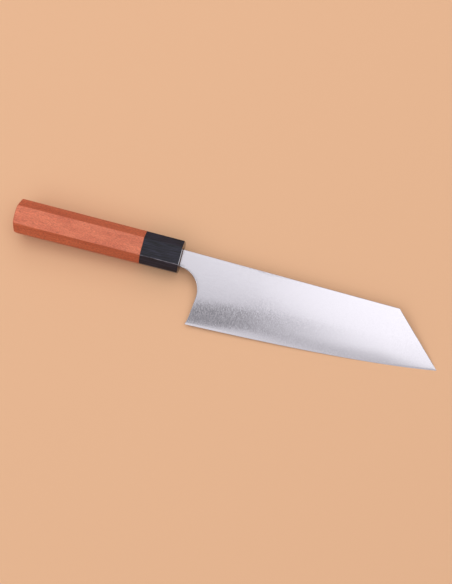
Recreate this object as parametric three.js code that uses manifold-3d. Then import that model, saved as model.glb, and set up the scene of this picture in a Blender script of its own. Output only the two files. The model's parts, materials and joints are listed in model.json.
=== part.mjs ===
// Bunka kitchen knife: a satin steel blade with a clipped point, its tang bedded in a round dowel
// that joins an octagonal wooden handle to a black ferrule. The tang goes in through a slot in the
// ferrule's front wall, and a bead of sealer closes that slot round the neck.
// The knife is drawn flat on its own axes, in millimetres: x runs along the handle from the
// ferrule's front face to the tip, y from the edge up to the spine, z across the blade.
// The finished group is then laid on a table as the real knife lies, with +Z up.

import * as THREE from 'three';
import { mergeVertices } from 'three/addons/utils/BufferGeometryUtils.js';
import Module from 'manifold-3d';

const wasm = await Module();
wasm.setup();

// Handle and ferrule: one octagon that tapers towards the blade
const HANDLE_LENGTH = 126;            // butt to the ferrule's front face
const FERRULE_LENGTH = 28.7;
const HEIGHT_AT_BUTT = 25.2;          // across the two narrow facets
const HEIGHT_AT_FRONT = 23.8;
const SIDE_FACET = 13;                // wide facets, left and right of the blade
const NARROW_FACET = 8.4;             // facets in line with the spine and the edge
const ARRIS_RADIUS = 0.5;             // easing along the eight long corners
const BUTT_CROWN_UPRIGHT = 45;        // crown radius of the butt seen from the side
const BUTT_CROWN_ACROSS = 120;        // crown radius of the butt seen from above the spine
const BUTT_EASE = 1;                  // easing round the butt
const FERRULE_CHAMFER = 0.5;          // bevel round the ferrule's front face
const FERRULE_WALL = 6;               // solid front of the ferrule, ahead of the dowel
const CROWN_RINGS = [0.3, 0.6, 0.85]; // how far out the rings of the butt's crown lie
const EASE_STEPS = 3;                 // steps round an eased corner of the butt
const ARRIS_STEPS = 2;                // steps round an eased long corner

// Dowel, tang and glue
const DOWEL_RADIUS = 7;
const DOWEL_LENGTH = 100;
const SLOT_LENGTH = 92;
const SLOT_WIDTH = 3.6;
const SLOT_HEIGHT = 11;
const TANG_LENGTH = 88;
const TANG_ROOT = 2;                  // the tang grows out of the neck from here
const TANG_THICKNESS = 1.9;
const TANG_HEIGHT_AT_NECK = 9.4;
const TANG_HEIGHT_AT_END = 6;
const TANG_MIDDLE = -0.5;             // the tang sits a little below the handle's middle
const GLUE_GAP = 0.1;                 // clearance between pieces that are fitted together
const SEAL_WIDTH = 0.7;               // bead of sealer round the neck, measured on the ferrule
const SEAL_HEIGHT = 0.6;              // and measured along the neck

// Blade outline
const SPINE_AT_FERRULE = 5.9;
const SPINE_SLOPE = -0.0161;          // the spine falls gently towards the point
const HEEL = new THREE.Vector2(15.5, -46.7);
const TIP = new THREE.Vector2(198.8, -33.5);
const POINT_ANGLE = THREE.MathUtils.degToRad(45.5); // clipped spine, measured from the axis
const EDGE_SLOPE_AT_HEEL = 0.03;
const EDGE_SLOPE_AT_TIP = 0.17;
const EDGE_REACH_FROM_HEEL = 70;      // how far the edge keeps its heel slope
const EDGE_REACH_FROM_TIP = 45;       // how far the belly keeps its tip slope
const NECK_HEIGHT = 12.8;
const NECK_START = 0.4;               // shoulder of the neck, just clear of the ferrule
const CHOIL_RADIUS = 17.5;            // finger hollow between the neck and the heel
const CHOIL_CENTRE_X = 0.2;

// Blade thickness
const SPINE_THICKNESS = 2.4;          // at the neck
const TAPER_TO_TIP = 0.003;           // half thickness lost for each mm towards the tip
const TAPER_TO_EDGE = 0.0075;         // half thickness lost for each mm towards the edge
const CONVEX_WIDTH = 22;              // rounded zone of the flank above the edge
const CONVEX_STEPS = 5;
const STEP_SPREAD = 1.4;              // steps lie closer together towards the edge
const BEVEL_WIDTH = 0.8;              // sharpened bevel
const BEVEL_HALF_THICKNESS = 0.14;    // half thickness at the top of that bevel
const SPINE_EASE = 0.3;               // softened corners of the spine
const STATION_SPACING = 8;            // between sections along the blade
const LAST_SECTION = 1.2;             // from the last section to the tip

// Where the belly of the edge touches the table, from 0 at the heel to 1 at the tip
const TABLE_CONTACT = 0.955;

const OVERSHOOT = 10;                 // cutters run this far past what they cut
const WELD = 1e-4;                    // points closer than this are one point
const HALVING_LIMIT = 1e-9;           // where a search by halving stops
const ROUND_SEGMENTS = 32;
const FACETS = 8;
const FACET_TURN = (2 * Math.PI) / FACETS;

// Finishes
const steel = new THREE.MeshStandardMaterial({ color: 0xd9dbdd, roughness: 0.34, metalness: 1 });
const redWood = new THREE.MeshStandardMaterial({ color: 0xb9633f, roughness: 0.6, metalness: 0 });
const blackWood = new THREE.MeshStandardMaterial({ color: 0x2b272c, roughness: 0.4, metalness: 0 });
const dowelWood = new THREE.MeshStandardMaterial({ color: 0xc49a6c, roughness: 0.8, metalness: 0 });
const epoxy = new THREE.MeshStandardMaterial({ color: 0x8a7352, roughness: 0.45, metalness: 0 });
const sealer = new THREE.MeshStandardMaterial({ color: 0x6b4630, roughness: 0.5, metalness: 0 });

// Solids

// A closed skin over a row of rings along +x. Rings run counter-clockwise seen from +x and have the
// same number of points; a ring of one point closes that end, any other end ring is capped flat.
function loft(rings) {
  const positions = rings.flat().flatMap((p) => [p.x, p.y, p.z]);
  const starts = [];
  rings.reduce((start, ring) => {
    starts.push(start);
    return start + ring.length;
  }, 0);
  const triangles = [];
  for (let i = 0; i + 1 < rings.length; i += 1) {
    const here = rings[i].length;
    const next = rings[i + 1].length;
    const count = Math.max(here, next);
    for (let j = 0; j < count; j += 1) {
      const k = (j + 1) % count;
      const a = starts[i] + (j % here);
      const b = starts[i] + (k % here);
      const c = starts[i + 1] + (k % next);
      const d = starts[i + 1] + (j % next);
      if (a !== b) triangles.push(a, b, c);
      if (c !== d) triangles.push(a, c, d);
    }
  }
  const flat = (ring) => ring.map((p) => new THREE.Vector2(p.y, p.z));
  const last = rings.length - 1;
  if (rings[0].length > 1) {
    for (const [a, b, c] of THREE.ShapeUtils.triangulateShape(flat(rings[0]), [])) triangles.push(a, c, b);
  }
  if (rings[last].length > 1) {
    const start = starts[last];
    for (const [a, b, c] of THREE.ShapeUtils.triangulateShape(flat(rings[last]), [])) {
      triangles.push(start + a, start + b, start + c);
    }
  }
  const geometry = new THREE.BufferGeometry();
  geometry.setAttribute('position', new THREE.Float32BufferAttribute(positions, 3));
  geometry.setIndex(triangles);
  return geometry;
}

function solid(geometry) {
  const bare = geometry.clone();
  bare.deleteAttribute('normal');
  bare.deleteAttribute('uv');
  const merged = mergeVertices(bare, WELD);
  const mesh = new wasm.Mesh({
    numProp: 3,
    vertProperties: new Float32Array(merged.attributes.position.array),
    triVerts: new Uint32Array(merged.index.array),
  });
  return new wasm.Manifold(mesh);
}

function geometryOf(manifold) {
  const { vertProperties, triVerts } = manifold.getMesh();
  const geometry = new THREE.BufferGeometry();
  geometry.setAttribute('position', new THREE.BufferAttribute(vertProperties, 3));
  geometry.setIndex(new THREE.BufferAttribute(triVerts, 1));
  return geometry;
}

// A flat outline in x and y, given an even thickness about the blade's middle plane
function plate(shape, thickness) {
  const geometry = new THREE.ExtrudeGeometry(shape, {
    depth: thickness,
    bevelEnabled: false,
    curveSegments: ROUND_SEGMENTS,
  });
  return geometry.translate(0, 0, -thickness / 2);
}

// A round bar along the handle's axis
function bar(radius, fromX, toX) {
  const geometry = new THREE.CylinderGeometry(radius, radius, toX - fromX, ROUND_SEGMENTS);
  return geometry.rotateZ(Math.PI / 2).translate((fromX + toX) / 2, 0, 0);
}

// Handle

function handleHeight(x) {
  return THREE.MathUtils.mapLinear(x, -HANDLE_LENGTH, 0, HEIGHT_AT_BUTT, HEIGHT_AT_FRONT);
}

// The octagon at x as y and z points, drawn in by an inset, with every corner eased by a small arc
function octagon(x, inset = 0, scale = 1) {
  const halfHeight = handleHeight(x) / 2;
  const halfWidth = halfHeight - (SIDE_FACET - NARROW_FACET) / 2;
  const slant = (SIDE_FACET / 2 + halfWidth) * Math.SQRT1_2;
  const reach = [halfHeight, slant, halfWidth, slant].map((r) => r - inset - ARRIS_RADIUS);
  const points = [];
  for (let i = 0; i < FACETS; i += 1) {
    const here = reach[i % reach.length];
    const next = reach[(i + 1) % reach.length];
    const turn = i * FACET_TURN;
    const along = (next - here * Math.cos(FACET_TURN)) / Math.sin(FACET_TURN);
    const centre = new THREE.Vector2(here, along).rotateAround(new THREE.Vector2(), turn);
    for (let step = 0; step <= ARRIS_STEPS; step += 1) {
      const arc = turn + (step / ARRIS_STEPS) * FACET_TURN;
      const corner = new THREE.Vector2(Math.cos(arc), Math.sin(arc)).multiplyScalar(ARRIS_RADIUS);
      points.push(corner.add(centre).multiplyScalar(scale));
    }
  }
  return points;
}

function octagonRing(x, inset = 0) {
  return octagon(x, inset).map((p) => new THREE.Vector3(x, p.x, p.y));
}

// The butt is crowned: more in the blade's plane than across it
function buttRing(scale, inset, forward) {
  return octagon(-HANDLE_LENGTH, inset, scale).map((p) => {
    const crown = p.x ** 2 / (2 * BUTT_CROWN_UPRIGHT) + p.y ** 2 / (2 * BUTT_CROWN_ACROSS);
    return new THREE.Vector3(-HANDLE_LENGTH + crown + forward, p.x, p.y);
  });
}

function handleBody() {
  const joint = -FERRULE_LENGTH - GLUE_GAP;
  const rings = [[new THREE.Vector3(-HANDLE_LENGTH, 0, 0)]];
  for (const scale of CROWN_RINGS) rings.push(buttRing(scale, BUTT_EASE, 0));
  for (let step = 0; step <= EASE_STEPS; step += 1) {
    const angle = (step / EASE_STEPS) * (Math.PI / 2);
    rings.push(buttRing(1, BUTT_EASE * (1 - Math.sin(angle)), BUTT_EASE * (1 - Math.cos(angle))));
  }
  rings.push(octagonRing(joint));
  const bore = bar(DOWEL_RADIUS + GLUE_GAP, -DOWEL_LENGTH - GLUE_GAP, 0);
  return geometryOf(solid(loft(rings)).subtract(solid(bore)));
}

function ferrule() {
  const rings = [
    octagonRing(-FERRULE_LENGTH),
    octagonRing(-FERRULE_CHAMFER),
    octagonRing(0, FERRULE_CHAMFER),
  ];
  const bore = bar(DOWEL_RADIUS + GLUE_GAP, -FERRULE_LENGTH - OVERSHOOT, -FERRULE_WALL);
  const slot = slotBlock(OVERSHOOT, 0);
  return geometryOf(solid(loft(rings)).subtract(solid(bore)).subtract(solid(slot)));
}

// A block along the slot for the tang, from the slot's blind end to x, drawn in by a clearance
function slotBlock(toX, clearance) {
  const fromX = -SLOT_LENGTH + clearance;
  const height = SLOT_HEIGHT - 2 * clearance;
  const width = SLOT_WIDTH - 2 * clearance;
  const block = new THREE.BoxGeometry(toX - fromX, height, width);
  return block.translate((fromX + toX) / 2, TANG_MIDDLE, 0);
}

function dowel() {
  const core = bar(DOWEL_RADIUS, -DOWEL_LENGTH, -FERRULE_WALL - GLUE_GAP);
  return geometryOf(solid(core).subtract(solid(slotBlock(OVERSHOOT, 0))));
}

function tangBedding() {
  const filling = slotBlock(-GLUE_GAP, GLUE_GAP);
  const room = tang(TANG_THICKNESS + 2 * GLUE_GAP, GLUE_GAP);
  return geometryOf(solid(filling).subtract(solid(room)));
}

// Blade

const edge = new THREE.CubicBezierCurve(
  HEEL,
  HEEL.clone().add(new THREE.Vector2(1, EDGE_SLOPE_AT_HEEL).multiplyScalar(EDGE_REACH_FROM_HEEL)),
  TIP.clone().sub(new THREE.Vector2(1, EDGE_SLOPE_AT_TIP).multiplyScalar(EDGE_REACH_FROM_TIP)),
  TIP,
);

// Height of the edge at x, found by halving; behind the heel it runs straight on
function edgeHeight(x) {
  if (x <= HEEL.x) return HEEL.y + (x - HEEL.x) * EDGE_SLOPE_AT_HEEL;
  let low = 0;
  let high = 1;
  while (high - low > HALVING_LIMIT) {
    const middle = (low + high) / 2;
    if (edge.getPoint(middle).x < x) low = middle;
    else high = middle;
  }
  return edge.getPoint(low).y;
}

function spineHeight(x) {
  return SPINE_AT_FERRULE + SPINE_SLOPE * x;
}

function pointHeight(x) {
  return TIP.y + (TIP.x - x) * Math.tan(POINT_ANGLE);
}

// Corner where the spine is clipped to the point
const clip = Math.tan(POINT_ANGLE);
const CLIP_X = (TIP.y + TIP.x * clip - SPINE_AT_FERRULE) / (clip + SPINE_SLOPE);

// Half thickness: flat tapered flanks that round over to the bevel above the edge
function halfThickness(x, y) {
  const aboveEdge = y - edgeHeight(x);
  const flat = (height) =>
    SPINE_THICKNESS / 2 - TAPER_TO_TIP * x - TAPER_TO_EDGE * (SPINE_AT_FERRULE - height);
  if (aboveEdge >= CONVEX_WIDTH) return flat(y);
  if (aboveEdge < BEVEL_WIDTH) return (BEVEL_HALF_THICKNESS * aboveEdge) / BEVEL_WIDTH;
  const drop = flat(edgeHeight(x) + BEVEL_WIDTH) - BEVEL_HALF_THICKNESS;
  return flat(y) - drop * ((CONVEX_WIDTH - aboveEdge) / (CONVEX_WIDTH - BEVEL_WIDTH)) ** 2;
}

// One section of the blade: down the left flank from the spine, round the edge and up the right
function bladeRing(x) {
  const top = Math.min(spineHeight(x), pointHeight(x));
  const bottom = edgeHeight(x);
  const spineHalf = halfThickness(x, top);
  const ease = Math.min(SPINE_EASE, spineHalf / 2);
  const flank = [new THREE.Vector3(x, top, spineHalf - ease), new THREE.Vector3(x, top - ease, spineHalf)];
  // Near the tip the steps of the convex zone draw together to fit under the clipped spine
  const squeeze = Math.min(1, (top - ease - bottom) / (CONVEX_WIDTH + BEVEL_WIDTH));
  for (let i = CONVEX_STEPS; i >= 0; i -= 1) {
    const rise = THREE.MathUtils.lerp(BEVEL_WIDTH, CONVEX_WIDTH, (i / CONVEX_STEPS) ** STEP_SPREAD);
    const y = bottom + rise * squeeze;
    flank.push(new THREE.Vector3(x, y, halfThickness(x, y)));
  }
  const mirrored = flank.map((p) => new THREE.Vector3(p.x, p.y, -p.z)).reverse();
  return [...flank, new THREE.Vector3(x, bottom, 0), ...mirrored];
}

// The choil: an arc from under the neck to the front of the hollow, then straight to the heel
function choilShape() {
  const centre = new THREE.Vector2(CHOIL_CENTRE_X, SPINE_AT_FERRULE - NECK_HEIGHT - CHOIL_RADIUS);
  const toHeel = HEEL.clone().sub(centre);
  const tangent = toHeel.angle() + Math.acos(CHOIL_RADIUS / toHeel.length()) - 2 * Math.PI;
  const down = new THREE.Vector2(Math.sin(tangent), -Math.cos(tangent));
  const pastHeel = HEEL.clone().addScaledVector(down, OVERSHOOT);
  const shape = new THREE.Shape();
  shape.moveTo(-OVERSHOOT, pastHeel.y);
  shape.lineTo(pastHeel.x, pastHeel.y);
  shape.absarc(centre.x, centre.y, CHOIL_RADIUS, tangent, Math.PI / 2, false);
  shape.lineTo(-OVERSHOOT, centre.y + CHOIL_RADIUS);
  return shape;
}

// The tang narrows to a blunt point; grown by a clearance it is the room left for it
function tang(thickness, clearance = 0) {
  const halfNeck = TANG_HEIGHT_AT_NECK / 2 + clearance;
  const halfEnd = TANG_HEIGHT_AT_END / 2 + clearance;
  const shape = new THREE.Shape();
  shape.moveTo(TANG_ROOT, TANG_MIDDLE - halfNeck);
  shape.lineTo(TANG_ROOT, TANG_MIDDLE + halfNeck);
  shape.lineTo(-TANG_LENGTH + halfEnd, TANG_MIDDLE + halfEnd);
  shape.lineTo(-TANG_LENGTH - clearance, TANG_MIDDLE + halfEnd / 2);
  shape.lineTo(-TANG_LENGTH - clearance, TANG_MIDDLE - halfEnd / 2);
  shape.lineTo(-TANG_LENGTH + halfEnd, TANG_MIDDLE - halfEnd);
  shape.closePath();
  return plate(shape, thickness);
}

function blade() {
  const stations = [NECK_START, HEEL.x];
  for (const [from, to] of [[HEEL.x, CLIP_X], [CLIP_X, TIP.x - LAST_SECTION]]) {
    const count = Math.ceil((to - from) / STATION_SPACING);
    for (let i = 1; i <= count; i += 1) stations.push(from + ((to - from) * i) / count);
  }
  const rings = stations.map(bladeRing);
  rings.push([new THREE.Vector3(TIP.x, TIP.y, 0)]);
  const ground = solid(loft(rings)).subtract(solid(plate(choilShape(), OVERSHOOT)));
  return geometryOf(ground.add(solid(tang(TANG_THICKNESS))));
}

// The sealer is a sloping bead that fills the corner between the neck and the ferrule's face
function mouthSeal() {
  const neckMiddle = SPINE_AT_FERRULE - NECK_HEIGHT / 2;
  const frame = (x, spread) => {
    const y = NECK_HEIGHT / 2 + spread;
    const z = SPINE_THICKNESS / 2 + spread;
    return [[y, -z], [y, z], [-y, z], [-y, -z]].map(([a, b]) => new THREE.Vector3(x, neckMiddle + a, b));
  };
  const bead = loft([frame(GLUE_GAP, SEAL_WIDTH), frame(SEAL_HEIGHT, 2 * GLUE_GAP)]);
  const neck = loft([frame(NECK_START - GLUE_GAP, GLUE_GAP), frame(OVERSHOOT, GLUE_GAP)]);
  const room = tang(TANG_THICKNESS + 2 * GLUE_GAP, GLUE_GAP);
  return geometryOf(solid(bead).subtract(solid(neck)).subtract(solid(room)));
}

// Assembly

const knife = new THREE.Group();
for (const [name, geometry, material] of [
  ['blade', blade(), steel],
  ['ferrule', ferrule(), blackWood],
  ['handle_body', handleBody(), redWood],
  ['dowel', dowel(), dowelWood],
  ['tang_bedding', tangBedding(), epoxy],
  ['mouth_seal', mouthSeal(), sealer],
]) {
  const mesh = new THREE.Mesh(geometry, material);
  mesh.name = name;
  knife.add(mesh);
}

// The knife lies on the lower corner of its ferrule and on the belly of its edge, so the table is
// the plane through that corner that touches the edge along its tangent
const belly = edge.getPoint(TABLE_CONTACT);
const along = edge.getTangent(TABLE_CONTACT);
const ferruleHalfWidth = (handleHeight(-FERRULE_CHAMFER) - SIDE_FACET + NARROW_FACET) / 2;
const corner = new THREE.Vector3(-FERRULE_CHAMFER, -SIDE_FACET / 2, -ferruleHalfWidth);
const reach = new THREE.Vector3(belly.x, belly.y, 0).sub(corner);
const up = new THREE.Vector3(along.x, along.y, 0).cross(reach).normalize();
if (up.z < 0) up.negate();
knife.quaternion.setFromUnitVectors(up, new THREE.Vector3(0, 0, 1));

// Origin: on the table, under the middle of the knife
const group = new THREE.Group();
group.add(knife);
const box = new THREE.Box3().setFromObject(group, true);
const middle = box.getCenter(new THREE.Vector3());
knife.position.set(-middle.x, -middle.y, -box.min.z);

export default group;
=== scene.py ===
"""A bunka kitchen knife lying on a pale table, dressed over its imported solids.

Each piece is modelled in millimetres on the knife's own axes: x runs along the handle from the
ferrule's front face to the tip, y from the edge up to the spine, z across the blade. It is then
set down on the table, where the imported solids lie.
"""

import json
import math

import bmesh
import bpy
from mathutils import Matrix, Vector


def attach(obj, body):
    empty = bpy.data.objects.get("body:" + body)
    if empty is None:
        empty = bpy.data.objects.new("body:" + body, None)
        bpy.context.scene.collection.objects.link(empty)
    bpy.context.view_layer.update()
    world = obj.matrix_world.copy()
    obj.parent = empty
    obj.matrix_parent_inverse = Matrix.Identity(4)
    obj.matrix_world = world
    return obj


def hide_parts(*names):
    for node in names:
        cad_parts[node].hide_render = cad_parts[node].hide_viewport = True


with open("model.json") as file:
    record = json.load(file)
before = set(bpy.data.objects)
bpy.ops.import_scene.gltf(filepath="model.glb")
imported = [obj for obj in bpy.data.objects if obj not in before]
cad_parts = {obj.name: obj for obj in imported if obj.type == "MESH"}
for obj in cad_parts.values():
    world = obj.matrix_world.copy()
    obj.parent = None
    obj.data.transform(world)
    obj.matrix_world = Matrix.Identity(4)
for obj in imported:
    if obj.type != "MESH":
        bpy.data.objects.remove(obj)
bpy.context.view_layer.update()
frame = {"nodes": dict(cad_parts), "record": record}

# Units, tolerances and fineness; lengths are in millimetres
MM = 0.001
NEAR = 1e-3
FACING = 0.9
LEAST_BEND = math.radians(2)
SHARP_BEND = math.radians(60)
SMOOTH_ANGLE = math.radians(32)
OVERCUT = 1
BAR_SIDES = 64
EASE_SEGMENTS = 3
HALVINGS = 40

# Handle and ferrule
HANDLE_LENGTH = 126
FERRULE_LENGTH = 28.7
HEIGHT_AT_BUTT = 25.2
HEIGHT_AT_FRONT = 23.8
SIDE_FACET = 13
NARROW_FACET = 8.4
OCTAGON_TURN = math.radians(45)
ARRIS_RADIUS = 0.5
BUTT_CROWN_UPRIGHT = 45
BUTT_CROWN_ACROSS = 120
BUTT_EASE = 1
BUTT_EASE_SEGMENTS = 5
BUTT_RINGS = 3
BUTT_RING_WIDTH = 2.4
FERRULE_EASE = 0.5
FERRULE_WALL = 6
GLUE_GAP = 0.1
DOWEL_RADIUS = 7
DOWEL_LENGTH = 100
SLOT_WIDTH = 3.6
SLOT_HEIGHT = 11

# Cuts through the butt, in degrees from the line across the knife to the upright one
BUTT_CUTS = (0, 17.5, 52.8, 80.5, 90)

# Tang and sealer
TANG_LENGTH = 88
TANG_THICKNESS = 1.9
TANG_HEIGHT_AT_NECK = 9.4
TANG_HEIGHT_AT_END = 6
TANG_END_NARROWING = 0.5
TANG_MIDDLE = -0.5
SEAL_WIDTH = 0.7
SEAL_HEIGHT = 0.4
SEAL_SEGMENTS = 4

# Blade outline
SPINE_AT_FERRULE = 5.9
SPINE_SLOPE = -0.0161
HEEL = Vector((15.5, -46.7))
HEEL_FLARE = 0.8
HEEL_FLARE_RISE = 8
TIP = Vector((198.8, -33.5))
POINT_ANGLE = math.radians(45.5)
EDGE_SLOPE_AT_HEEL = 0.03
EDGE_SLOPE_AT_TIP = 0.17
EDGE_REACH_FROM_HEEL = 70
EDGE_REACH_FROM_TIP = 45
NECK_HEIGHT = 12.8
NECK_START = 0.4
CHOIL_RADIUS = 17.5
CHOIL_CENTRE = Vector((0.2, SPINE_AT_FERRULE - NECK_HEIGHT - CHOIL_RADIUS))

# Blade thickness
SPINE_THICKNESS = 2.4
TAPER_TO_TIP = 0.003
TAPER_TO_EDGE = 0.0075
CONVEX_WIDTH = 22
BEVEL_WIDTH = 0.8
BEVEL_HALF_THICKNESS = 0.14
SPINE_EASE = 0.5
HONED_WIDTH = 10.8
HONED_DEPTH = 0.24
HONED_FULL_FROM_HEEL = 46
HONED_FULL_FROM_TIP = 41
HONED_RUN_OUT = 0.2

# Rows of the blade's points, which crowd towards the edge, and the steps along them
HEEL_RISES = (0, BEVEL_WIDTH, 1.6, 2.8, 4.4, 6.4, 8.8, 11.6, 14.6, 17.6)
CHOIL_STEPS = 14
NECK_STEPS = 5
LEAST_FLAT = 2
FIRST_STATION = 34
STEPS_TO_FIRST = 8
STEPS_TO_CLIP = 44
STEPS_TO_TIP = 20

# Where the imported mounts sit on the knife's axes
HANDLE_MOUNT_X = -77
BLADE_MOUNT = Vector((90, -8))

# Depths under a wide facet between which its look fades in
FACET_FADE_FROM = 0.4
FACET_FADE_TO = 0.05

# Millimetres of the blade for one unit of its map
MAP_UNIT = 100

# Table and light, in metres; softboxes hang flat and face down, and those that overlap hang on
# other tiers, so that each one shows
TABLE_SIZE = 4
LIGHT_HEIGHT = 1.2
TIER_STEP = 0.01
SKY_BRIGHTNESS = 0.46

# Camera at the photograph's angle
CAMERA_TARGET = Vector((1.648, 0.446, 6.874)) * MM
CAMERA_DISTANCE = 0.8
CAMERA_AZIMUTH = math.radians(23.53)
CAMERA_ELEVATION = math.radians(76.65)
CAMERA_ROLL = math.radians(-8.71)
SENSOR_WIDTH = 36
FOCAL_LENGTH = 67.73


# Where the solids lie

def lay_on_table():
    """The matrix that takes a piece from the knife's axes, in mm, to where the solids lie."""
    mounts = {m["name"]: Vector(m["pos_m"]) for m in frame["record"]["mounts"]}
    on_handle = (mounts["handle_left_facet"] + mounts["handle_right_facet"]) / 2
    on_blade = (mounts["blade_left_flat"] + mounts["blade_right_flat"]) / 2
    across = (mounts["handle_left_facet"] - mounts["handle_right_facet"]).normalized()
    reach = (on_blade - on_handle).normalized()
    turn = math.atan2(BLADE_MOUNT.y, BLADE_MOUNT.x - HANDLE_MOUNT_X)
    along = (Matrix.Rotation(-turn, 3, across) @ reach).normalized()
    upright = across.cross(along)
    turned = Matrix((along, upright, across)).transposed().to_4x4()
    origin = on_handle - along * HANDLE_MOUNT_X * MM
    return Matrix.Translation(origin) @ turned


LAY = lay_on_table()


# Working by hand

def begin(name):
    """Names the primitive just added and puts its size and place into its mesh."""
    piece = bpy.context.object
    piece.name = name
    bpy.ops.object.transform_apply(location=True, rotation=True, scale=True)
    return piece


def choose(piece):
    """Makes one piece the only selected one."""
    bpy.ops.object.select_all(action="DESELECT")
    piece.select_set(True)
    bpy.context.view_layer.objects.active = piece


def work_on(piece):
    """Chooses a piece and opens its mesh."""
    choose(piece)
    bpy.ops.object.mode_set(mode="EDIT")


def put_down():
    """Closes the mesh that is being worked on."""
    bpy.ops.object.mode_set(mode="OBJECT")


def pick(kind, test):
    """In edit mode, selects the vertices, edges or faces that pass a test, and no others."""
    bpy.ops.mesh.select_mode(type=kind)
    bpy.ops.mesh.select_all(action="DESELECT")
    mesh = bpy.context.object.data
    shape = bmesh.from_edit_mesh(mesh)
    shape.normal_update()
    for part in {"VERT": shape.verts, "EDGE": shape.edges, "FACE": shape.faces}[kind]:
        part.select_set(bool(test(part)))
    shape.select_flush_mode()
    bmesh.update_edit_mesh(mesh)


def bevel_edges(test, offset, segments):
    """In edit mode, bevels the edges that pass a test."""
    pick("EDGE", test)
    bpy.ops.mesh.bevel(offset=offset, segments=segments, affect="EDGES", clamp_overlap=False)


def merge_points():
    """In edit mode, merges the points that lie in one place."""
    bpy.ops.mesh.select_all(action="SELECT")
    bpy.ops.mesh.remove_doubles(threshold=NEAR)


def use_modifier(piece, kind, **settings):
    """Adds a modifier with its settings and applies it."""
    modifier = piece.modifiers.new(kind.lower(), kind)
    for name, value in settings.items():
        setattr(modifier, name, value)
    choose(piece)
    bpy.ops.object.modifier_apply(modifier=modifier.name)


def cut_away(piece, cutter):
    """Cuts the shape of another mesh out of a piece, and throws that mesh away."""
    use_modifier(piece, "BOOLEAN", operation="DIFFERENCE", solver="EXACT", object=cutter)
    bpy.data.objects.remove(cutter)


def block(name, low, high):
    """A plain block between two corners."""
    low, high = Vector(low), Vector(high)
    bpy.ops.object.select_all(action="DESELECT")
    bpy.ops.mesh.primitive_cube_add(size=1, location=(low + high) / 2, scale=high - low)
    return begin(name)


def bar(name, radius, rear, front):
    """A round bar along the handle's axis."""
    bpy.ops.object.select_all(action="DESELECT")
    bpy.ops.mesh.primitive_cylinder_add(
        vertices=BAR_SIDES,
        radius=radius,
        depth=front - rear,
        location=((rear + front) / 2, 0, 0),
        rotation=(0, math.pi / 2, 0),
    )
    return begin(name)


# Handle, ferrule and seal

def half_height(x):
    """Half the octagon's height, which shrinks evenly from the butt to the front."""
    share = (x + HANDLE_LENGTH) / HANDLE_LENGTH
    return (HEIGHT_AT_BUTT + (HEIGHT_AT_FRONT - HEIGHT_AT_BUTT) * share) / 2


def half_width(x):
    """Half the octagon's width, for corners that are cut at 45 degrees."""
    return half_height(x) - (SIDE_FACET - NARROW_FACET) / 2


def runs_along(edge):
    return abs(edge.verts[0].co.x - edge.verts[1].co.x) > NEAR


def rims_end(side):
    """A test for the edges round an end that faces the tip, 1, or the butt, -1."""
    return lambda edge: {round(face.normal.x) for face in edge.link_faces} == {0, side}


def octagon_block(name, rear, front):
    """A block with its four long corners cut at 45 degrees, drawn in towards the blade."""
    tall, wide = half_height(rear), half_width(rear)
    piece = block(name, (rear, -tall, -wide), (front, tall, wide))
    work_on(piece)
    bevel_edges(runs_along, offset=tall - SIDE_FACET / 2, segments=1)
    draw_in = tall - half_height(front)
    for direction, reach in [((0, 1, 0), tall), ((0, -1, 0), tall), ((0, 0, 1), wide), ((0, 0, -1), wide)]:
        side = Vector(direction)
        pick("VERT", lambda v: v.co.x > front - NEAR and v.co.dot(side) > reach - NEAR)
        bpy.ops.transform.translate(value=-side * draw_in)
    put_down()
    return piece


def ease_arrises():
    """Rounds the long corners, and the corner lines that run on over an eased end."""
    tangent = ARRIS_RADIUS * math.tan(OCTAGON_TURN / 2)
    bevel_edges(
        lambda edge: runs_along(edge) and edge.calc_face_angle(0) > LEAST_BEND,
        offset=tangent,
        segments=EASE_SEGMENTS,
    )


def handle_body():
    rear, joint = -HANDLE_LENGTH, -FERRULE_LENGTH - GLUE_GAP
    piece = octagon_block("handle_octagon", rear, joint)
    work_on(piece)
    # Cuts through the axis and rings give the crowned butt points to bend along
    mirrored_cuts = [180 - angle for angle in reversed(BUTT_CUTS[1:-1])]
    for angle in [*BUTT_CUTS, *mirrored_cuts]:
        bpy.ops.mesh.select_all(action="SELECT")
        turn = math.radians(angle)
        bpy.ops.mesh.bisect(plane_co=(0, 0, 0), plane_no=(0, math.cos(turn), -math.sin(turn)))
    pick("FACE", lambda f: f.normal.x < -FACING)
    for _ in range(BUTT_RINGS):
        bpy.ops.mesh.inset(thickness=BUTT_RING_WIDTH, depth=0)
    bevel_edges(rims_end(-1), offset=BUTT_EASE, segments=BUTT_EASE_SEGMENTS)
    ease_arrises()
    put_down()
    for point in piece.data.vertices:
        if point.co.x < rear + BUTT_EASE + NEAR:
            upright = point.co.y ** 2 / (2 * BUTT_CROWN_UPRIGHT)
            across = point.co.z ** 2 / (2 * BUTT_CROWN_ACROSS)
            point.co.x += upright + across
    cut_away(piece, bar("bore", DOWEL_RADIUS + GLUE_GAP, -DOWEL_LENGTH - GLUE_GAP, 0))
    return piece


def ferrule():
    piece = octagon_block("ferrule_collar", -FERRULE_LENGTH, 0)
    work_on(piece)
    bevel_edges(rims_end(1), offset=FERRULE_EASE, segments=EASE_SEGMENTS)
    ease_arrises()
    put_down()
    cut_away(piece, bar("bore", DOWEL_RADIUS + GLUE_GAP, -FERRULE_LENGTH - OVERCUT, -FERRULE_WALL))
    low = (-FERRULE_WALL - OVERCUT, TANG_MIDDLE - SLOT_HEIGHT / 2, -SLOT_WIDTH / 2)
    high = (OVERCUT, TANG_MIDDLE + SLOT_HEIGHT / 2, SLOT_WIDTH / 2)
    cut_away(piece, block("slot", low, high))
    return piece


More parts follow.
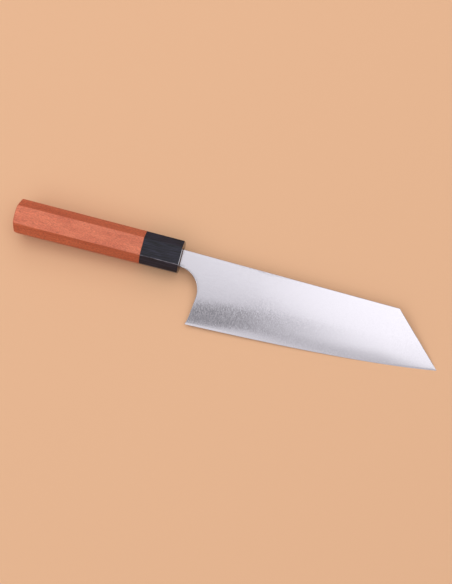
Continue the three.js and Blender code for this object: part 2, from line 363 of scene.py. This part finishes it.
def mouth_seal():
    """The bead slopes from the ferrule's face up to the neck, with its outer corners rounded."""
    tall = NECK_HEIGHT / 2 + SEAL_WIDTH
    wide = SPINE_THICKNESS / 2 + SEAL_WIDTH
    middle = SPINE_AT_FERRULE - NECK_HEIGHT / 2
    piece = block("seal_bead", (GLUE_GAP, middle - tall, -wide), (SEAL_HEIGHT, middle + tall, wide))
    work_on(piece)
    bevel_edges(runs_along, offset=SEAL_WIDTH, segments=SEAL_SEGMENTS)
    bevel_edges(rims_end(1), offset=SEAL_HEIGHT - 2 * GLUE_GAP, segments=SEAL_SEGMENTS)
    put_down()
    half_neck = NECK_HEIGHT / 2 + GLUE_GAP
    half_thick = SPINE_THICKNESS / 2 + GLUE_GAP
    low = (-OVERCUT, middle - half_neck, -half_thick)
    high = (OVERCUT, middle + half_neck, half_thick)
    cut_away(piece, block("neck", low, high))
    return piece


# Outline and thickness of the blade

def edge_point(share):
    """A point on the edge: a cubic curve from the heel, at 0, to the tip, at 1."""
    rest = 1 - share
    rear = HEEL + Vector((1, EDGE_SLOPE_AT_HEEL)) * EDGE_REACH_FROM_HEEL
    front = TIP - Vector((1, EDGE_SLOPE_AT_TIP)) * EDGE_REACH_FROM_TIP
    return (rest ** 3 * HEEL + 3 * rest ** 2 * share * rear
            + 3 * rest * share ** 2 * front + share ** 3 * TIP)


def edge_height(x):
    """Height of the edge at x, found by halving; behind the heel it runs straight on."""
    if x <= HEEL.x:
        return HEEL.y + (x - HEEL.x) * EDGE_SLOPE_AT_HEEL
    low, high = 0.0, 1.0
    for _ in range(HALVINGS):
        middle = (low + high) / 2
        if edge_point(middle).x < x:
            low = middle
        else:
            high = middle
    return edge_point(high).y


def top_height(x):
    """Height of the spine at x, or of the clipped point in front of it."""
    spine = SPINE_AT_FERRULE + SPINE_SLOPE * x
    point = TIP.y + (TIP.x - x) * math.tan(POINT_ANGLE)
    return min(spine, point)


def clip_corner_x():
    """Where the spine is clipped to the point."""
    fall = math.tan(POINT_ANGLE)
    return (TIP.y + TIP.x * fall - SPINE_AT_FERRULE) / (fall + SPINE_SLOPE)


def honed_share(x, above):
    """How far into the honed band a height above the edge lies; towards the heel and the tip the
    band runs out over the edge."""
    short_of_full = max(HONED_FULL_FROM_HEEL - x + HEEL.x, HONED_FULL_FROM_TIP - TIP.x + x)
    run_out = HONED_RUN_OUT * max(0, short_of_full)
    return max(0, 1 - (above + run_out) / HONED_WIDTH)


def flat_half(x, y):
    """Half the thickness between the flat flanks, which taper to the tip and to the edge."""
    return SPINE_THICKNESS / 2 - TAPER_TO_TIP * x - TAPER_TO_EDGE * (SPINE_AT_FERRULE - y)


def half_thickness(x, y):
    """The flat flanks round over to the bevel, and more so where whetstones honed them."""
    edge = edge_height(x)
    above = y - edge
    if above < BEVEL_WIDTH:
        return BEVEL_HALF_THICKNESS * max(above, 0) / BEVEL_WIDTH
    drop = flat_half(x, edge + BEVEL_WIDTH) - BEVEL_HALF_THICKNESS
    rounded = max(0, (CONVEX_WIDTH - above) / (CONVEX_WIDTH - BEVEL_WIDTH))
    left_proud = honed_share(x, BEVEL_WIDTH) ** 2 - honed_share(x, above) ** 2
    return flat_half(x, y) - drop * rounded ** 2 + HONED_DEPTH * left_proud


# Rows of the blade's points

def on_choil(angle):
    """A point of the choil's arc, at an angle round its centre."""
    return CHOIL_CENTRE + CHOIL_RADIUS * Vector((math.cos(angle), math.sin(angle)))


def rear_points():
    """Points up the rear of the blade: from the flared heel round the choil and up the neck."""
    to_heel = HEEL - CHOIL_CENTRE
    tangent = math.atan2(to_heel.y, to_heel.x) + math.acos(CHOIL_RADIUS / to_heel.length)
    touch = on_choil(tangent)
    points = []
    for rise in HEEL_RISES:
        flare = HEEL_FLARE * max(0, 1 - rise / HEEL_FLARE_RISE) ** 2
        points.append(HEEL.lerp(touch, rise / (touch.y - HEEL.y)) - Vector((flare, 0)))
    neck_turn = math.acos((NECK_START - CHOIL_CENTRE.x) / CHOIL_RADIUS)
    for step in range(CHOIL_STEPS + 1):
        points.append(on_choil(tangent + (neck_turn - tangent) * step / CHOIL_STEPS))
    neck_foot = points[-1]
    neck_top = Vector((NECK_START, top_height(NECK_START)))
    for step in range(1, NECK_STEPS + 1):
        points.append(neck_foot.lerp(neck_top, step / NECK_STEPS))
    return points


def row_height(rear, x):
    """Height at x of the row of points that starts at a point of the rear."""
    rise = rear.y - edge_height(rear.x)
    low, high = edge_height(x), top_height(x)
    convex = CONVEX_WIDTH * min(1, (high - low) / (CONVEX_WIDTH + LEAST_FLAT))
    if rise <= CONVEX_WIDTH:
        return low + rise * convex / CONVEX_WIDTH
    room = top_height(rear.x) - edge_height(rear.x) - CONVEX_WIDTH
    return low + convex + (high - low - convex) * (rise - CONVEX_WIDTH) / room


def stations(rear):
    """The row's points along x: spread out behind the first common station, even after it."""
    corner = clip_corner_x()
    spans = [
        (rear.x, FIRST_STATION, STEPS_TO_FIRST),
        (FIRST_STATION, corner, STEPS_TO_CLIP),
        (corner, TIP.x, STEPS_TO_TIP),
    ]
    places = [rear.x]
    for start, end, count in spans:
        places += [start + (end - start) * step / count for step in range(1, count + 1)]
    return places


# Blade

def blade():
    """One flank is drawn on a grid, given its rim, mirrored and drawn out into the tang."""
    rows = [[Vector((x, row_height(rear, x))) for x in stations(rear)] for rear in rear_points()]
    across, up = len(rows[0]) - 1, len(rows) - 1
    bpy.ops.object.select_all(action="DESELECT")
    bpy.ops.mesh.primitive_grid_add(
        x_subdivisions=across,
        y_subdivisions=up,
        size=1,
        location=(1 / 2, 1 / 2, 0),
    )
    piece = begin("blade_ground")
    for point in piece.data.vertices:
        column = round(point.co.x * across)
        row = round(point.co.y * up)
        place = rows[row][column]
        point.co = (*place, half_thickness(*place))
    work_on(piece)
    merge_points()
    # The rim is drawn down to the middle plane to make half the spine and half the choil's wall
    pick("EDGE", lambda e: e.is_boundary and max(v.co.z for v in e.verts) > NEAR)
    bpy.ops.mesh.extrude_edges_move()
    bpy.ops.transform.resize(value=(1, 1, 0), center_override=(0, 0, 0))
    merge_points()
    weigh_rim()
    put_down()
    use_modifier(
        piece,
        "BEVEL",
        width=SPINE_EASE,
        segments=EASE_SEGMENTS,
        limit_method="WEIGHT",
        use_clamp_overlap=False,
    )
    use_modifier(piece, "MIRROR", use_axis=(False, False, True), merge_threshold=NEAR)
    work_on(piece)
    grow_tang()
    bpy.ops.mesh.select_all(action="SELECT")
    bpy.ops.mesh.normals_make_consistent(inside=False)
    put_down()
    return piece


def weigh_rim():
    """Gives the rim's edges their share of the easing, which fades out where the blade is thin."""
    mesh = bpy.context.object.data
    shape = bmesh.from_edit_mesh(mesh)
    shape.normal_update()
    weight = shape.edges.layers.float.new("bevel_weight_edge")
    for edge in shape.edges:
        half = min(v.co.z for v in edge.verts)
        at_neck = max(v.co.x for v in edge.verts) < NECK_START + NEAR
        if half > NEAR and edge.calc_face_angle(0) > SHARP_BEND and not at_neck:
            edge[weight] = min(1, half / (2 * SPINE_EASE))
    bmesh.update_edit_mesh(mesh)


def grow_tang():
    """Draws the tang out of the neck's rear face."""
    middle = (NECK_START, TANG_MIDDLE, 0)
    shoulder = (SPINE_THICKNESS - TANG_THICKNESS) / 2
    half_end = TANG_HEIGHT_AT_END / 2
    pick("FACE", lambda f: f.normal.x < -FACING and f.calc_center_median().x < NECK_START + NEAR)
    bpy.ops.mesh.inset(thickness=shoulder, depth=0)
    steps = [
        (0, TANG_HEIGHT_AT_NECK / (NECK_HEIGHT - 2 * shoulder)),
        (TANG_LENGTH - half_end + NECK_START, TANG_HEIGHT_AT_END / TANG_HEIGHT_AT_NECK),
        (half_end, TANG_END_NARROWING),
    ]
    for length, narrowing in steps:
        if length:
            bpy.ops.mesh.extrude_region_move(TRANSFORM_OT_translate={"value": (-length, 0, 0)})
        bpy.ops.transform.resize(value=(1, narrowing, 1), center_override=middle)


# Materials

def colour(hexadecimal):
    """An sRGB hex colour as linear red, green, blue and alpha, by the standard curve."""
    parts = [int(hexadecimal[i:i + 2], 16) / 255 for i in (1, 3, 5)]
    return (*[p / 12.92 if p <= 0.04045 else ((p + 0.055) / 1.055) ** 2.4 for p in parts], 1)


def add(tree, kind, sockets=None, **settings):
    """Adds a node with its settings; a socket is given a value or the output that feeds it."""
    node = tree.nodes.new(kind)
    for name, value in settings.items():
        setattr(node, name, value)
    for name, value in (sockets or {}).items():
        if isinstance(value, bpy.types.NodeSocket):
            tree.links.new(value, node.inputs[name])
        else:
            node.inputs[name].default_value = value
    return node


# Sockets of a colour Mix node
MIX_A, MIX_B, MIX_RESULT = 6, 7, 2


def new_material(name):
    material = bpy.data.materials.new(name)
    material.use_nodes = True
    material.node_tree.nodes.clear()
    return material, material.node_tree


def on_knife(tree, spacing):
    """Coordinates along the knife's own axes, counted in pattern spacings given in mm."""
    place = add(tree, "ShaderNodeTexCoord")
    return add(tree, "ShaderNodeMapping", {
        "Vector": place.outputs["Object"],
        "Location": LAY.translation,
        "Rotation": LAY.to_euler("XYZ"),
        "Scale": [size * MM for size in spacing],
    }, vector_type="TEXTURE").outputs["Vector"]


def finish_material(tree, shader):
    add(tree, "ShaderNodeOutputMaterial", {"Surface": shader.outputs["BSDF"]})


def satin_steel():
    """Stainless steel, satin ground: fine lines across the blade stretch its reflections along it."""
    material, tree = new_material("satin_stainless_steel")
    # Real grinding lines are under 0.1 mm apart; they are drawn 0.45 mm apart so that they show
    line_gap = 0.45
    line_length = 5
    line_depth = 0.004
    grain_length = 1.2
    lines = add(tree, "ShaderNodeTexNoise", {
        "Vector": on_knife(tree, (line_gap, line_length, line_length)),
        "Scale": 1,
        "Detail": 3,
    })
    grain = add(tree, "ShaderNodeTexNoise", {
        "Vector": on_knife(tree, (line_gap, grain_length, grain_length)),
        "Scale": 1,
        "Detail": 1,
    })
    grey = add(tree, "ShaderNodeMix", {
        "Factor": grain.outputs["Fac"],
        MIX_A: colour("#b3b0b7"),
        MIX_B: colour("#cbc8cf"),
    }, data_type="RGBA")
    bump = add(tree, "ShaderNodeBump", {
        "Height": lines.outputs["Fac"],
        "Strength": 1,
        "Distance": line_depth * MM,
    })
    ground = add(tree, "ShaderNodeMapRange", {
        "Value": grain.outputs["Fac"],
        "From Min": 0.3,
        "From Max": 0.7,
        "To Min": 0.08,
        "To Max": 0.19,
    })
    # Whetstones left the band next to the edge a little duller
    honed_dulling = 0.08
    honed = add(tree, "ShaderNodeAttribute", attribute_name="honed_share")
    rough = add(tree, "ShaderNodeMath", {
        0: honed.outputs["Fac"],
        1: honed_dulling,
        2: ground.outputs["Result"],
    }, operation="MULTIPLY_ADD")
    along = add(tree, "ShaderNodeTangent", direction_type="UV_MAP", uv_map="along")
    shader = add(tree, "ShaderNodeBsdfPrincipled", {
        "Base Color": grey.outputs[MIX_RESULT],
        "Metallic": 1,
        "Roughness": rough.outputs["Value"],
        "Anisotropic": 0.73,
        "Tangent": along.outputs["Tangent"],
        "Normal": bump.outputs["Normal"],
    })
    finish_material(tree, shader)
    return material


def wide_facet_depth(tree):
    """Depth across the knife, corrected for the taper: the wide facets lie at half_width(0)."""
    place = add(tree, "ShaderNodeSeparateXYZ", {"Vector": on_knife(tree, (1, 1, 1))})
    depth = add(tree, "ShaderNodeMath", {0: place.outputs["Z"]}, operation="ABSOLUTE")
    taper = (half_width(-HANDLE_LENGTH) - half_width(0)) / HANDLE_LENGTH
    return add(tree, "ShaderNodeMath", {
        0: place.outputs["X"],
        1: taper,
        2: depth.outputs["Value"],
    }, operation="MULTIPLY_ADD").outputs["Value"]


def layered_tone_and_facet_shade(tree, flat):
    """The red wood's growth layers: light patches on the wide facets, long streaks on the slanted ones, in
    darker colours that are partly grain and partly painted shade.
    """
    # A layer is about 1.8 mm thick, and patches in it are about 4 mm wide
    layer_size = (60, 14, 1.8)
    patch_size = (18, 4, 4)
    layers = add(tree, "ShaderNodeTexNoise", {
        "Vector": on_knife(tree, layer_size),
        "Scale": 1,
        "Detail": 5,
        "Roughness": 0.65,
    })
    patches = add(tree, "ShaderNodeTexNoise", {
        "Vector": on_knife(tree, patch_size),
        "Scale": 1,
        "Detail": 3,
    })
    streak = add(tree, "ShaderNodeMapRange", {
        "Value": layers.outputs["Fac"],
        "From Min": 0.32,
        "From Max": 0.68,
    })
    # The slanted facets' streak colours are darker than the wide facets' patches: partly grain, partly
    # painted shade
    shaded_streaks = add(tree, "ShaderNodeMix", {
        "Factor": streak.outputs["Result"],
        MIX_A: colour("#a54420"),
        MIX_B: colour("#c15e38"),
    }, data_type="RGBA")
    patched = add(tree, "ShaderNodeMix", {
        "Factor": patches.outputs["Fac"],
        MIX_A: colour("#b55035"),
        MIX_B: colour("#ef8b66"),
    }, data_type="RGBA")
    blend = add(tree, "ShaderNodeMapRange", {
        "Value": flat,
        "To Min": 0.12,
        "To Max": 0.85,
    })
    return add(tree, "ShaderNodeMix", {
        "Factor": blend.outputs["Result"],
        MIX_A: shaded_streaks.outputs[MIX_RESULT],
        MIX_B: patched.outputs[MIX_RESULT],
    }, data_type="RGBA").outputs[MIX_RESULT]


def speckled_shade(tree, mottle):
    """How much the red wood's specks darken or lighten it, and how it grows darker towards the front."""
    speckle = add(tree, "ShaderNodeMapRange", {
        "Value": mottle,
        "From Min": 0.3,
        "From Max": 0.7,
        "To Min": 0.74,
        "To Max": 1.23,
    })
    place = add(tree, "ShaderNodeSeparateXYZ", {"Vector": on_knife(tree, (1, 1, 1))})
    # The wood grows darker from the butt towards the ferrule
    darker_towards_front = add(tree, "ShaderNodeMapRange", {
        "Value": place.outputs["X"],
        "From Min": -HANDLE_LENGTH,
        "From Max": -FERRULE_LENGTH,
        "To Min": 1.03,
        "To Max": 0.9,
    })
    return add(tree, "ShaderNodeMath", {
        0: speckle.outputs["Result"],
        1: darker_towards_front.outputs["Result"],
    }, operation="MULTIPLY").outputs["Value"]


def red_hardwood():
    """Reddish hardwood, oiled: growth layers lie flat under the wide facets, which look lighter and
    patchy, and run out as long streaks on the slanted ones, which are painted darker, partly for their
    grain and partly as painted shade. Short open pores follow the grain."""
    material, tree = new_material("oiled_red_hardwood")
    # Real specks and pores are about 0.15 mm wide; they are drawn 0.5 and 0.4 mm wide so that they show
    speck_size = (1.4, 0.5, 0.5)
    pore_size = (3, 0.4, 0.4)
    pore_depth = 0.05
    mottle = add(tree, "ShaderNodeTexNoise", {
        "Vector": on_knife(tree, speck_size),
        "Scale": 1,
        "Detail": 1,
    })
    pores = add(tree, "ShaderNodeTexNoise", {
        "Vector": on_knife(tree, pore_size),
        "Scale": 1,
        "Detail": 1,
    })
    flat = add(tree, "ShaderNodeMapRange", {
        "Value": wide_facet_depth(tree),
        "From Min": half_width(0) - FACET_FADE_FROM,
        "From Max": half_width(0) - FACET_FADE_TO,
    })
    grainy = add(tree, "ShaderNodeMapRange", {
        "Value": flat.outputs["Result"],
        "To Min": 1,
        "To Max": 0.75,
    })
    speckled = add(tree, "ShaderNodeMix", {
        "Factor": grainy.outputs["Result"],
        MIX_A: layered_tone_and_facet_shade(tree, flat.outputs["Result"]),
        MIX_B: speckled_shade(tree, mottle.outputs["Fac"]),
    }, data_type="RGBA", blend_type="MULTIPLY")
    pore = add(tree, "ShaderNodeMapRange", {
        "Value": pores.outputs["Fac"],
        "From Min": 0.58,
        "From Max": 0.75,
        "To Max": 0.5,
    })
    pored = add(tree, "ShaderNodeMix", {
        "Factor": pore.outputs["Result"],
        MIX_A: speckled.outputs[MIX_RESULT],
        MIX_B: colour("#8a3a22"),
    }, data_type="RGBA")
    rough = add(tree, "ShaderNodeMapRange", {
        "Value": mottle.outputs["Fac"],
        "To Min": 0.42,
        "To Max": 0.58,
    })
    bump = add(tree, "ShaderNodeBump", {
        "Height": pore.outputs["Result"],
        "Strength": 0.4,
        "Distance": pore_depth * MM,
    }, invert=True)
    shader = add(tree, "ShaderNodeBsdfPrincipled", {
        "Base Color": pored.outputs[MIX_RESULT],
        "Roughness": rough.outputs["Result"],
        "Normal": bump.outputs["Normal"],
    })
    finish_material(tree, shader)
    return material


def painted_corner_highlight(tree, height):
    """A painted highlight: a light line along the corner of the wide facets on the edge side, broken into
    patches by noise.
    """
    half_line = 0.25
    highlight_patch_stretch = (6, 2, 2)
    at_corner = add(tree, "ShaderNodeMath", {
        0: height,
        1: -SIDE_FACET / 2,
        2: half_line,
    }, operation="COMPARE")
    on_facet = add(tree, "ShaderNodeMath", {
        0: wide_facet_depth(tree),
        1: half_width(0) - FACET_FADE_FROM,
    }, operation="GREATER_THAN")
    highlight_patches = add(tree, "ShaderNodeTexNoise", {
        "Vector": on_knife(tree, highlight_patch_stretch),
        "Scale": 1,
        "Detail": 2,
    })
    highlight_broken = add(tree, "ShaderNodeMapRange", {
        "Value": highlight_patches.outputs["Fac"],
        "From Min": 0.36,
        "From Max": 0.6,
    })
    on_corner = add(tree, "ShaderNodeMath", {
        0: at_corner.outputs["Value"],
        1: on_facet.outputs["Value"],
    }, operation="MULTIPLY")
    return add(tree, "ShaderNodeMath", {
        0: on_corner.outputs["Value"],
        1: highlight_broken.outputs["Result"],
    }, operation="MULTIPLY").outputs["Value"]


def black_wood():
    """Black resin-filled wood, polished: almost black, with faint lines along the grain, and a painted
    highlight along the corner on the edge side.
    """
    material, tree = new_material("polished_black_resin_wood")
    # Real grain lines are about 0.2 mm apart; they are drawn 0.6 mm apart so that they show
    line_gap = 0.6
    line_length = 12
    line_depth = 0.03
    lines = add(tree, "ShaderNodeTexNoise", {
        "Vector": on_knife(tree, (line_length, line_gap, line_gap)),
        "Scale": 1,
        "Detail": 3,
    })
    strength = add(tree, "ShaderNodeMapRange", {
        "Value": lines.outputs["Fac"],
        "From Min": 0.35,
        "From Max": 0.7,
    })
    tone = add(tree, "ShaderNodeMix", {
        "Factor": strength.outputs["Result"],
        MIX_A: colour("#08070c"),
        MIX_B: colour("#2c2a3a"),
    }, data_type="RGBA")
    place = add(tree, "ShaderNodeSeparateXYZ", {"Vector": on_knife(tree, (1, 1, 1))})
    # Painted highlight: a light grey line along the edge-side corner of the wide facets
    surface = add(tree, "ShaderNodeMix", {
        "Factor": painted_corner_highlight(tree, place.outputs["Y"]),
        MIX_A: tone.outputs[MIX_RESULT],
        MIX_B: colour("#77737c"),
    }, data_type="RGBA")
    sanded = add(tree, "ShaderNodeMapRange", {
        "Value": lines.outputs["Fac"],
        "To Min": 0.24,
        "To Max": 0.38,
    })
    # The front face is buffed to a mirror, the facets only sanded fine
    buffed_from = -0.1
    rough = add(tree, "ShaderNodeMapRange", {
        "Value": place.outputs["X"],
        "From Min": -FERRULE_EASE,
        "From Max": buffed_from,
        "To Min": sanded.outputs["Result"],
        "To Max": 0.08,
    })
    bump = add(tree, "ShaderNodeBump", {
        "Height": lines.outputs["Fac"],
        "Strength": 0.2,
        "Distance": line_depth * MM,
    })
    shader = add(tree, "ShaderNodeBsdfPrincipled", {
        "Base Color": surface.outputs[MIX_RESULT],
        "Roughness": rough.outputs["Result"],
        "Specular IOR Level": 0.3,
        "Normal": bump.outputs["Normal"],
    })
    finish_material(tree, shader)
    return material


def cast_resin(name, dark, light, roughness):
    """Cured resin: smooth and slightly cloudy from its filler."""
    material, tree = new_material(name)
    cloud_size = (2, 2, 2)
    cloud = add(tree, "ShaderNodeTexNoise", {
        "Vector": on_knife(tree, cloud_size),
        "Scale": 1,
        "Detail": 2,
    })
    tone = add(tree, "ShaderNodeMix", {
        "Factor": cloud.outputs["Fac"],
        MIX_A: colour(dark),
        MIX_B: colour(light),
    }, data_type="RGBA")
    shader = add(tree, "ShaderNodeBsdfPrincipled", {
        "Base Color": tone.outputs[MIX_RESULT],
        "Roughness": roughness,
    })
    finish_material(tree, shader)
    return material


def dowel_beech():
    """Beech, turned and left bare: pale, with short flecks along the grain."""
    material, tree = new_material("bare_turned_beech")
    fleck_size = (3, 0.5, 0.5)
    fleck = add(tree, "ShaderNodeTexNoise", {
        "Vector": on_knife(tree, fleck_size),
        "Scale": 1,
        "Detail": 2,
    })
    tone = add(tree, "ShaderNodeMix", {
        "Factor": fleck.outputs["Fac"],
        MIX_A: colour("#b98f63"),
        MIX_B: colour("#d6b48a"),
    }, data_type="RGBA")
    shader = add(tree, "ShaderNodeBsdfPrincipled", {
        "Base Color": tone.outputs[MIX_RESULT],
        "Roughness": 0.7,
    })
    finish_material(tree, shader)
    return material


# Setting the pieces down

def mark_along(piece):
    """A map whose first axis runs along the knife, for the direction of the steel's sheen."""
    chart = piece.data.uv_layers.new(name="along")
    for loop in piece.data.loops:
        place = piece.data.vertices[loop.vertex_index].co
        chart.data[loop.index].uv = (place.x / MAP_UNIT, (place.y + place.z) / MAP_UNIT)


def mark_honing(piece):
    """Tells the steel's finish how far into the honed band each point lies."""
    share = piece.data.attributes.new("honed_share", "FLOAT", "POINT")
    for point in piece.data.vertices:
        x, y, _ = point.co
        share.data[point.index].value = honed_share(x, y - edge_height(x))


def set_down(piece, node, material):
    """Lays a finished piece where its solid lies, gives it its material and hides that solid."""
    choose(piece)
    piece.matrix_world = LAY @ Matrix.Scale(MM, 4)
    bpy.ops.object.transform_apply(location=True, rotation=True, scale=True)
    bpy.ops.object.shade_smooth_by_angle(angle=SMOOTH_ANGLE)
    use_modifier(piece, "WEIGHTED_NORMAL", keep_sharp=True)
    piece.data.materials.clear()
    piece.data.materials.append(material)
    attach(piece, "root")
    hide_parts(node)


def dress_node(name, material):
    """Gives a solid that keeps its own shape a better finish."""
    mesh = frame["nodes"][name].data
    mesh.materials.clear()
    mesh.materials.append(material)


knife_blade = blade()
mark_along(knife_blade)
mark_honing(knife_blade)
set_down(knife_blade, "blade", satin_steel())
set_down(ferrule(), "ferrule", black_wood())
set_down(handle_body(), "handle_body", red_hardwood())
sealing_resin = cast_resin("brown_sealing_resin", dark="#6a4a3a", light="#8a6856", roughness=0.35)
set_down(mouth_seal(), "mouth_seal", sealing_resin)
dress_node("dowel", dowel_beech())
dress_node("tang_bedding", cast_resin("cured_epoxy", dark="#8a7352", light="#a58c66", roughness=0.4))


# Table, light and camera

def table_top():
    """A pale matt sheet under the knife."""
    bpy.ops.object.select_all(action="DESELECT")
    bpy.ops.mesh.primitive_plane_add(size=TABLE_SIZE)
    floor = bpy.context.object
    floor.name = "table_top"
    material, tree = new_material("pale_matt_paper")
    shader = add(tree, "ShaderNodeBsdfPrincipled", {"Base Color": colour("#e1b18b"), "Roughness": 0.9})
    finish_material(tree, shader)
    floor.data.materials.append(material)


def softbox(name, middle, size, brightness=1, turn=0, tier=0):
    """A flat soft light; its brightness is what a mirror on the table would show of it."""
    light = bpy.data.lights.new(name, "AREA")
    light.shape = "RECTANGLE"
    light.size, light.size_y = size
    light.energy = math.pi * size[0] * size[1] * brightness
    lamp = bpy.data.objects.new(name, light)
    lamp.location = (*middle, LIGHT_HEIGHT + tier * TIER_STEP)
    lamp.rotation_euler = (0, 0, math.radians(turn))
    bpy.context.scene.collection.objects.link(lamp)
    return light


def grade(light, ramps):
    """Makes a panel brighter along x or y, from one level to another between two places in metres."""
    light.use_nodes = True
    tree = light.node_tree
    spot = add(tree, "ShaderNodeNewGeometry")
    part = add(tree, "ShaderNodeSeparateXYZ", {"Vector": spot.outputs["Position"]})
    level = 1
    for axis, ((start, low), (end, high)) in ramps.items():
        ramp = add(tree, "ShaderNodeMapRange", {
            "Value": part.outputs[axis],
            "From Min": start,
            "From Max": end,
            "To Min": low,
            "To Max": high,
        }, interpolation_type="SMOOTHSTEP")
        product = add(tree, "ShaderNodeMath", {0: level, 1: ramp.outputs["Result"]}, operation="MULTIPLY")
        level = product.outputs["Value"]
    tree.links.new(level, tree.nodes["Emission"].inputs["Strength"])


def studio_light():
    """Panels with a dark gap between them, which the lower flank of the blade mirrors."""
    softbox("back_panel", middle=(-0.3, 1.03), size=(2.2, 1.8), brightness=1.1)
    softbox("side_panel", middle=(-1.45, -0.45), size=(0.9, 2.1), brightness=1.2, tier=3)
    softbox("low_front_panel", middle=(-0.35, -1.3), size=(1.3, 0.8), brightness=1.2)
    left = softbox("left_panel", middle=(-0.717, -0.401), size=(1.6, 0.26), turn=28)
    right = softbox("right_panel", middle=(0.72, -0.018), size=(1.36, 0.295))
    lower_right = softbox("lower_right_panel", middle=(0.7, -0.2825), size=(1.4, 0.235))
    gap = softbox("gap_panel", middle=(0.62, -0.5325), size=(1.56, 0.735), tier=1)
    front = softbox("front_panel", middle=(0, -0.6), size=(2.4, 0.6), tier=2)
    towards_tip = ((-0.25, 0.87), (0.25, 1.53))
    grade(left, {"X": towards_tip, "Y": ((-0.2, 0.65), (-0.08, 1))})
    grade(right, {"X": towards_tip, "Y": ((-0.2, 0.92), (-0.08, 1))})
    grade(lower_right, {"X": ((0.01, 0), (0.26, 0.98)), "Y": ((-0.4, 0), (-0.17, 1))})
    grade(gap, {"X": ((-0.06, 0.02), (0.08, 0.42))})
    grade(front, {"X": ((0, 0.83), (0.14, 0.08)), "Y": ((-0.43, 1), (-0.34, 0))})
    world = bpy.data.worlds.new("studio")
    world.use_nodes = True
    sky = world.node_tree.nodes["Background"]
    sky.inputs["Color"].default_value = colour("#f4f2f4")
    sky.inputs["Strength"].default_value = SKY_BRIGHTNESS
    bpy.context.scene.world = world
    bpy.context.scene.view_settings.view_transform = "Standard"


def camera():
    """Looks down on the knife from a little in front of it, at the photograph's angle."""
    level = math.cos(CAMERA_ELEVATION)
    back = Vector((
        math.sin(CAMERA_AZIMUTH) * level,
        -math.cos(CAMERA_AZIMUTH) * level,
        math.sin(CAMERA_ELEVATION),
    ))
    lens = bpy.data.cameras.new("camera")
    lens.sensor_width = SENSOR_WIDTH
    lens.lens = FOCAL_LENGTH
    seat = bpy.data.objects.new("camera", lens)
    seat.location = CAMERA_TARGET + back * CAMERA_DISTANCE
    upright = back.to_track_quat("Z", "Y").to_matrix()
    seat.rotation_euler = (upright @ Matrix.Rotation(CAMERA_ROLL, 3, "Z")).to_euler()
    bpy.context.scene.collection.objects.link(seat)
    bpy.context.scene.camera = seat


table_top()
studio_light()
camera()
